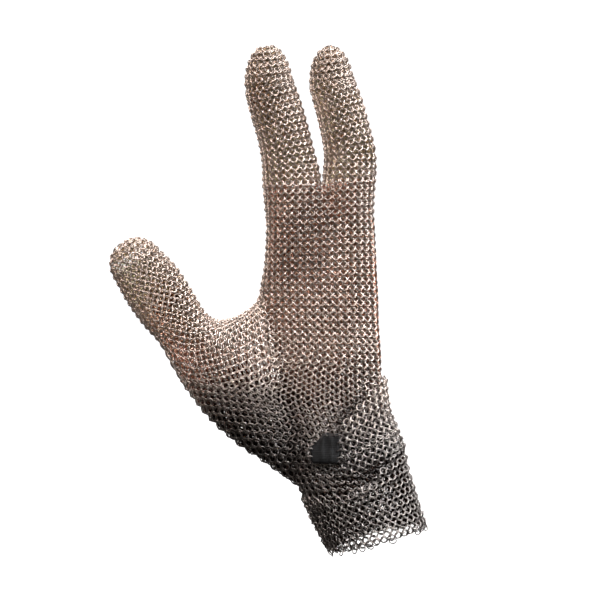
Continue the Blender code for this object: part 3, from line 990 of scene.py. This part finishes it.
# ---- wrist band
# columns as those of the palm's sections
BAND = (
    (-34.4, 15.8, 12.2, 41.0, 18.2, 0.2, 2.1),
    (-31.6, 9.6, 14.9, 29.4, 18.0, 0.2, 2.1),
    (-28.3, 2.6, 18.4, 18.0, 17.8, 0.1, 2.1),
    (-25.3, -3.0, 20.8, 10.0, 17.6, 0.0, 2.1),
    (-22.9, -6.8, 22.4, 5.6, 17.6, 0.0, 2.1),
)
BAND_PITCH = 3.5
BAND_SINK = SINK - 0.6
BAND_STIR = 2.2  # of the outer layer
BAND_POINTS = 160  # round a row
LINING_PITCH = 3.6
LINING_SINK = SINK + 1.0
LINING_SHIFT = 0.3  # of a pitch, against the outer layer
HEM_DROP = 1.3  # single rings hang from the hem
HEM_YAW = 20.0
HEM_LEAN = 50.0  # at most
HEM_STIR = 1.5


def band_patch(out, sink, pitch, shift=0.0, closer=1.0, lean=None, side=0, loose=0.0):
    """Rows round the band, or its palm side (-1) or back (1) alone; loose is the share of hem rings."""
    fine, table = dense(BAND, 10)
    arc = arc_of((table[:, :2] + table[:, 2:4]) * 0.5)
    rows = int(arc[-1] / (ROW_STEP * closer))
    step = arc[-1] / rows
    for k in range(rows + 1):
        row = spline(BAND, float(np.interp(k * step, arc, fine)))
        pts = section(row, BAND_POINTS)
        across = np.array([row[2] - row[0], 0.0, row[3] - row[1]])
        up = unit(across)
        nos = unit(pts - [(row[0] + row[2]) * 0.5, row[5], (row[1] + row[3]) * 0.5])
        flat = (nos @ up)[:, None] * up / (np.linalg.norm(across) * 0.5)
        deep = nos[:, 1:2] * np.array([0.0, 1.0, 0.0]) / row[4]
        line = Outline(pts, unit(flat + deep), [-up[2], 0.0, up[0]], up)
        count = int(round(line.length / pitch))
        real = line.length / count
        at = line.read((np.arange(count) + 0.5 * (k % 2) + shift) * real)
        pos, nor, tan = at
        use = pos[:, 1] * side > 0.0 if side else np.ones(count, dtype=bool)
        tip = lean_for(step) if lean is None else lean
        out.add(at, use, by_turns(k) * tip, yaw_for(real), sink, BAND_STIR if loose else EVEN)
        if k == rows and loose:
            hung = rng.random(count) < loose
            low = (pos - unit(np.cross(nor, tan)) * HEM_DROP, nor, tan)
            lean_hung = np.zeros(count)
            lean_hung[hung] = rng.uniform(-HEM_LEAN, HEM_LEAN, hung.sum())
            out.add(low, hung, lean_hung, HEM_YAW, sink, HEM_STIR)


# ---- closure tab
TAB_CENTRE = (-24.2, -17.95, 41.2)
TAB_WIDTH = 13.0
TAB_HEIGHT = 13.6
TAB_THICK = 1.5
TAB_SLOPE = -0.21  # it lies back towards the thumb side
TAB_CORNER = 6.4  # slanted upper corner
TAB_FOLDS = (-1.6, 2.6)  # soft upright folds, from the middle
TAB_STEPS = 28
# rings over its left and right edges, behind those edges, and over its upper edge: place and angle
TAB_SIDE_RINGS = (
    (-1.0, -0.62, 35.0), (-1.0, -0.14, 48.0), (-1.0, 0.34, 40.0),
    (1.0, -0.72, 50.0), (1.0, -0.20, 38.0), (1.0, 0.30, 46.0), (1.0, 0.78, 40.0),
)
TAB_REAR_RINGS = (
    (-1.0, -0.40, 10.0), (-1.0, 0.10, -12.0), (-0.78, 0.56, 8.0), (1.0, -0.46, -8.0), (1.0, 0.06, 12.0),
)
TAB_TOP_RINGS = ((-0.55, -38.0), (0.0, 40.0), (0.55, -44.0))


def tab_point(u, v, face):
    """Point of the tab: u across and v up from -1 to 1, face 1 in front and -1 behind."""
    z = v * TAB_HEIGHT * 0.5
    slant = max(0.0, z - (TAB_HEIGHT * 0.5 - TAB_CORNER))
    round_low = 1.6 * max(0.0, -v - 0.72) / 0.28
    left = -TAB_WIDTH * 0.5 + slant * 0.95 + round_low ** 2 * 0.5
    right = TAB_WIDTH * 0.5 - 0.5 * max(0.0, -v) - round_low ** 2 * 0.4
    x = left + (right - left) * (u * 0.5 + 0.5)
    rim = max(abs(u), abs(v))
    thick = TAB_THICK * 0.5 * max(1.0 - rim ** 8, 0.0) ** 0.5
    fold = sum(math.exp(-((x - c) / 0.9) ** 2) for c in TAB_FOLDS)
    y = TAB_SLOPE * x - face * thick - (0.35 * fold * (1.0 - rim ** 4) if face > 0 else 0.0)
    return np.array(TAB_CENTRE) + [x, y, z]


def build_tab():
    made = bmesh.new()
    grids = []
    for face in (1, -1):
        grid = {}
        for j in range(TAB_STEPS + 1):
            for i in range(TAB_STEPS + 1):
                if face < 0 and (i in (0, TAB_STEPS) or j in (0, TAB_STEPS)):
                    # the rim is shared
                    grid[i, j] = grids[0][i, j]
                    continue
                point = tab_point(2.0 * i / TAB_STEPS - 1.0, 2.0 * j / TAB_STEPS - 1.0, face)
                grid[i, j] = made.verts.new(point * MM)
        grids.append(grid)
        for j in range(TAB_STEPS):
            for i in range(TAB_STEPS):
                corners = [grid[i, j], grid[i + 1, j], grid[i + 1, j + 1], grid[i, j + 1]]
                made.faces.new(corners[::face]).smooth = True
    mesh = bpy.data.meshes.new("closure_webbing")
    made.to_mesh(mesh)
    made.free()
    return placed("closure_webbing", mesh, webbing)


def tab_edge_rings(out):
    """Rings that hold the tab."""
    def parts(angle):
        return math.cos(math.radians(angle)), math.sin(math.radians(angle))

    for u, v, angle in TAB_SIDE_RINGS:
        c, s = parts(angle)
        out.one(tab_point(u, v, 1) + [0.5 * u, -0.35, 0.0], [1.0, 0.0, 0.0], [0.0, -c, s])
    for u, v, angle in TAB_REAR_RINGS:
        c, s = parts(angle)
        out.one(tab_point(u, v, -1) + [1.2 * u, 0.9, 0.0], [0.0, 1.0, 0.0], [s, 0.0, c])
    for u, angle in TAB_TOP_RINGS:
        c, s = parts(angle)
        out.one(tab_point(u, 1.0, 1) + [0.0, -0.35, 0.4], [s, -c, 0.0], [0.0, 0.0, 1.0])


# ---- pieces
# each mesh is its palm side, its back and the back's inner layers
thumb_mesh, palm_mesh, index_mesh, middle_mesh = ([Rings(), Rings(), Rings()] for _ in range(4))
INDEX_ROWS = (index_form, INDEX, 21, 161.3)  # form, stations, rings to a row, level of the first row
MIDDLE_ROWS = (middle_form, MIDDLE, 20, 162.6)

for back in (False, True):
    thumb_patch(thumb_mesh[back], back)
thumb_patch(thumb_mesh[2], True, 1.0)
for back in (False, True):
    palm_patch(palm_mesh[back], back)
    top_row = palm_mesh[back].rows[0][0][:, 0]
    finger_patch(index_mesh[back], *INDEX_ROWS, top_row, back)
    finger_patch(middle_mesh[back], *MIDDLE_ROWS, top_row, back)
# behind the heel the back lies in two more, loose layers
palm_patch(palm_mesh[2], True, 0.5, 4.0)
palm_patch(palm_mesh[2], True, 1.5, 4.0)
palm_mesh[2].keep(lambda c: (c[:, 0] < -30.0) & (c[:, 2] < 68.0))
palm_patch(palm_mesh[2], True, 1.0)
finger_patch(index_mesh[2], *INDEX_ROWS, top_row, True, 1.0)
finger_patch(middle_mesh[2], *MIDDLE_ROWS, top_row, True, 1.0)

flap_mesh = Rings()
flap_patch(flap_mesh)

band_outer = Rings()
band_patch(band_outer, BAND_SINK, BAND_PITCH, loose=0.4)
# the band's upper edge dips on the palm side, below the flap
band_outer.keep(lambda c: ~((c[:, 1] < 0) & (c[:, 2] > np.interp(c[:, 0], BAND_TOP_X, BAND_TOP_Z))))
band_inner = Rings()
band_patch(band_inner, LINING_SINK, LINING_PITCH, LINING_SHIFT, side=-1)
band_patch(band_inner, LINING_SINK, PITCH * BACK_PITCH, LINING_SHIFT, BACK_STEP, BACK_LEAN, side=1)

finish_piece(build_tab(), "closure_tab", slot="black_webbing")
tab_edge_rings(palm_mesh[False])

for name, mesh, front, rear, nodes in (
    ("index", index_mesh, steel, steel_back, ("index_stall",)),
    ("middle", middle_mesh, steel, steel_back, ("middle_stall",)),
    ("thumb", thumb_mesh, steel, steel_back, ("thumb_stall", "thumb_gusset")),
    ("palm", palm_mesh, steel_palm, steel_palm_back, ("palm_mesh",)),
):
    finish_piece(mesh[0].build(name + "_rings", front), *nodes)
    finish_piece(mesh[1].build(name + "_back_rings", rear, PLAIN, BACK_WIRE), *nodes)
    finish_piece(mesh[2].build(name + "_fold_rings", rear, FOLD_SIDES, BACK_WIRE), *nodes)
finish_piece(band_outer.build("band_rings", steel), "cuff_band")
finish_piece(band_inner.build("band_lining_rings", steel_lining, FOLD_SIDES, BACK_WIRE), "cuff_band")
finish_piece(flap_mesh.build("flap_rings", steel), "closure_flap")

# ---- stage (metres)
FLOOR_Z = -0.16
FLOOR_HALF = 6.0
FLOOR_WHITE = 0.93
WALL_RADIUS = 5.8
WALL_TOP = 9.0
WALL_SIDES = 48


def stage_object(name, vertices, faces, white):
    """Plain surface that looks pale under any light."""
    mesh = bpy.data.meshes.new(name)
    mesh.from_pydata(vertices, [], faces)
    mat, tree, shader = new_material(name)
    tint = (white, white, white, 1.0)
    feed(tree, shader, {
        "Base Color": tint,
        "Roughness": 0.9,
        "Specular IOR Level": 0.0,
        "Emission Color": tint,
        "Emission Strength": white,
    })
    made = placed(name, mesh, mat)
    # the steel mirrors the darker studio round it, not the pale floor and backdrop
    made.visible_glossy = False
    made.visible_diffuse = False
    made.visible_shadow = False


floor = [(x * FLOOR_HALF, y * FLOOR_HALF, FLOOR_Z) for x, y in ((-1, -1), (1, -1), (1, 1), (-1, 1))]
stage_object("floor", floor, [(0, 1, 2, 3)], FLOOR_WHITE)
wall = [(WALL_RADIUS * math.cos(turn), WALL_RADIUS * math.sin(turn), level)
        for level in (FLOOR_Z - 0.5, WALL_TOP) for turn in turns(WALL_SIDES)]
lid = [WALL_SIDES + k for k in range(WALL_SIDES)]
sides = [(k, (k + 1) % WALL_SIDES, lid[(k + 1) % WALL_SIDES], lid[k]) for k in range(WALL_SIDES)]
stage_object("backdrop", wall, [*sides, lid], 1.0)

# the studio, pale above and dark below
scene = bpy.context.scene
scene.world = scene.world or bpy.data.worlds.new("studio")
scene.world.use_nodes = True
studio = scene.world.node_tree
way = studio.nodes.new("ShaderNodeTexCoord").outputs["Generated"]
rise = mapped(studio, add_node(studio, "SeparateXYZ", {"Vector": way}).outputs["Z"], (-1.0, 1.0))
feed(studio, studio.nodes["Background"], {
    "Strength": 1.0,
    "Color": ramp(studio, rise, (
        (0.30, (0.040, 0.033, 0.029)),
        (0.52, (0.160, 0.140, 0.128)),
        (1.00, (0.68, 0.65, 0.63)),
    )),
})

AIM = (-0.03, 0.0, 0.11)
# name, place, target, size, cone in degrees (an area light has none), power, tint
LIGHTS = (
    ("key", (0.60, -0.55, 1.00), (-0.040, 0.0, 0.182), 0.25, 22.0, 56.0, (1.0, 0.95, 0.92)),
    ("right", (0.85, -0.42, 0.55), AIM, 0.40, None, 6.0, (0.97, 0.98, 1.0)),
    ("thumb_side", (-0.50, -0.36, 0.92), (-0.085, 0.0, 0.135), 0.15, 34.0, 24.0, (1.0, 0.86, 0.79)),
    ("wrist", (0.62, -0.70, 0.62), (0.0, 0.0, 0.025), 0.12, 12.5, 58.0, (1.0, 0.99, 0.98)),
    ("behind", (-0.35, 0.95, 0.75), AIM, 0.60, None, 7.0, (1.0, 0.98, 0.96)),
)
for name, place, target, size, cone, power, tint in LIGHTS:
    light = bpy.data.lights.new(name, "SPOT" if cone else "AREA")
    light.energy = power
    light.color = tint
    if cone:
        light.shadow_soft_size = size
        light.spot_size = math.radians(cone)
        light.spot_blend = 0.9
    else:
        light.size = size
    made = placed(name, light)
    made.location = place
    made.rotation_euler = (Vector(target) - Vector(place)).to_track_quat("-Z", "Y").to_euler()

camera_data = bpy.data.cameras.new("camera")
camera_data.sensor_width = SENSOR
camera_data.lens = LENS
camera_data.clip_start = 0.01
camera = placed("camera", camera_data)
camera.location = CAMERA * MM
camera.rotation_euler = (math.radians(90.0), 0.0, 0.0)
scene.camera = camera
scene.view_settings.view_transform = "Standard"
